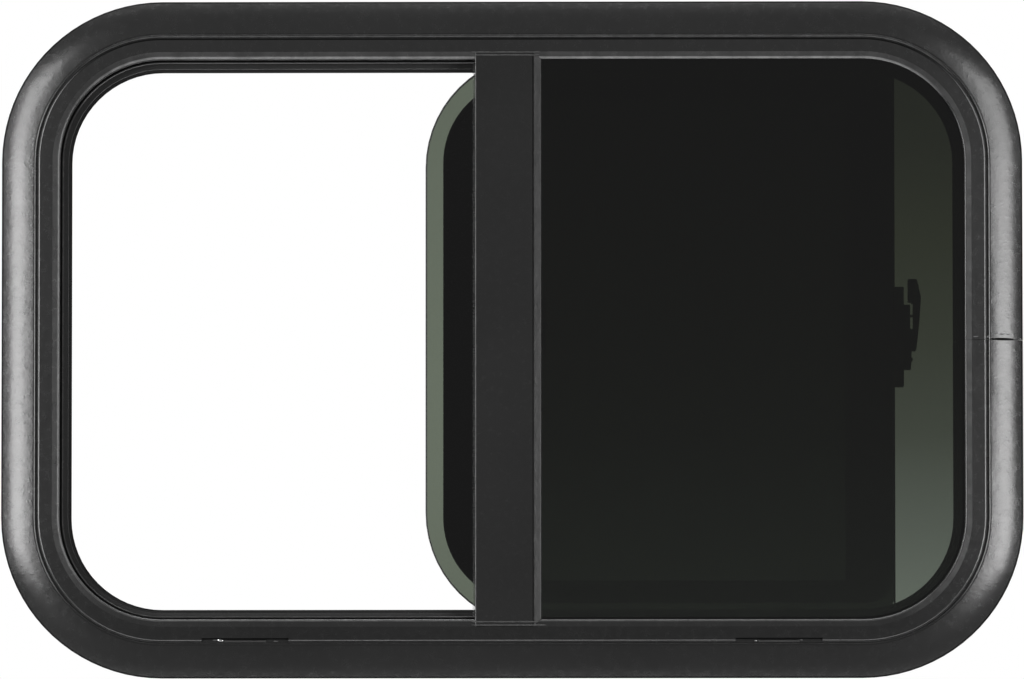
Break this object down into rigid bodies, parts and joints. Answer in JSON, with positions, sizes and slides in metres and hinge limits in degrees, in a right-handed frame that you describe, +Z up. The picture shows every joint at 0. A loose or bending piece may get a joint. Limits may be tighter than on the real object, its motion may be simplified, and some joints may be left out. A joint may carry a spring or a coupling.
{
  "type": "caravan window",
  "caption": "Black-framed caravan window with rounded corners, a fixed dark pane on the right and a dark sash that slides behind it from the left",
  "frame": {"origin": "The middle of the window, on the plane where the outer flange lies on the caravan's outer skin.", "axes": "X runs to the right as seen from outdoors, along the window's length. Y points into the caravan. Z is up."},
  "size_m": [0.744, 0.0438, 0.494],
  "materials": {
    "frame_black": "satin black powder coat on extruded aluminium",
    "sash_black": "satin black powder coat",
    "clamp_black": "satin black powder coat",
    "fixed_glass": "dark tinted safety glass",
    "sash_glass": "tinted safety glass",
    "seal_rubber": "matt black rubber",
    "brush_pile": "black woven pile",
    "nylon_black": "moulded black nylon",
    "latch_plastic": "moulded black plastic",
    "pin_steel": "turned steel",
    "plate_aluminium": "mill finish"
  },
  "bodies": {
    "window_frame": {"frame": "frame_black", "mullion": "frame_black", "mullion_block_top": "nylon_black", "mullion_block_bottom": "nylon_black", "mullion_pile": "brush_pile", "fixed_glass": "fixed_glass", "fixed_glass_seal_front": "seal_rubber", "fixed_glass_seal_rear": "seal_rubber", "setting_block_left": "seal_rubber", "setting_block_right": "seal_rubber", "channel_pile": "brush_pile", "track_stop_open": "nylon_black", "track_stop_closed": "nylon_black", "weep_baffle_left": "nylon_black", "weep_baffle_right": "nylon_black", "latch_keeper": "latch_plastic", "clamp_ring": "clamp_black", "flange_seal": "seal_rubber", "seam_plate": "plate_aluminium"},
    "sliding_sash": {"sash_glass": "sash_glass", "sash_frame": "sash_black", "sash_stile": "sash_black", "sash_glide_left": "nylon_black", "sash_glide_right": "nylon_black", "sash_guide_left": "nylon_black", "sash_guide_right": "nylon_black", "latch_base": "latch_plastic", "latch_lever": "latch_plastic", "latch_pin": "pin_steel"}
  },
  "joints": [
    {"name": "sash_slide", "type": "slide", "parent": "window_frame", "child": "sliding_sash", "axis": [1, 0, 0], "range_m": [-0.2662, 0]}
  ]
}
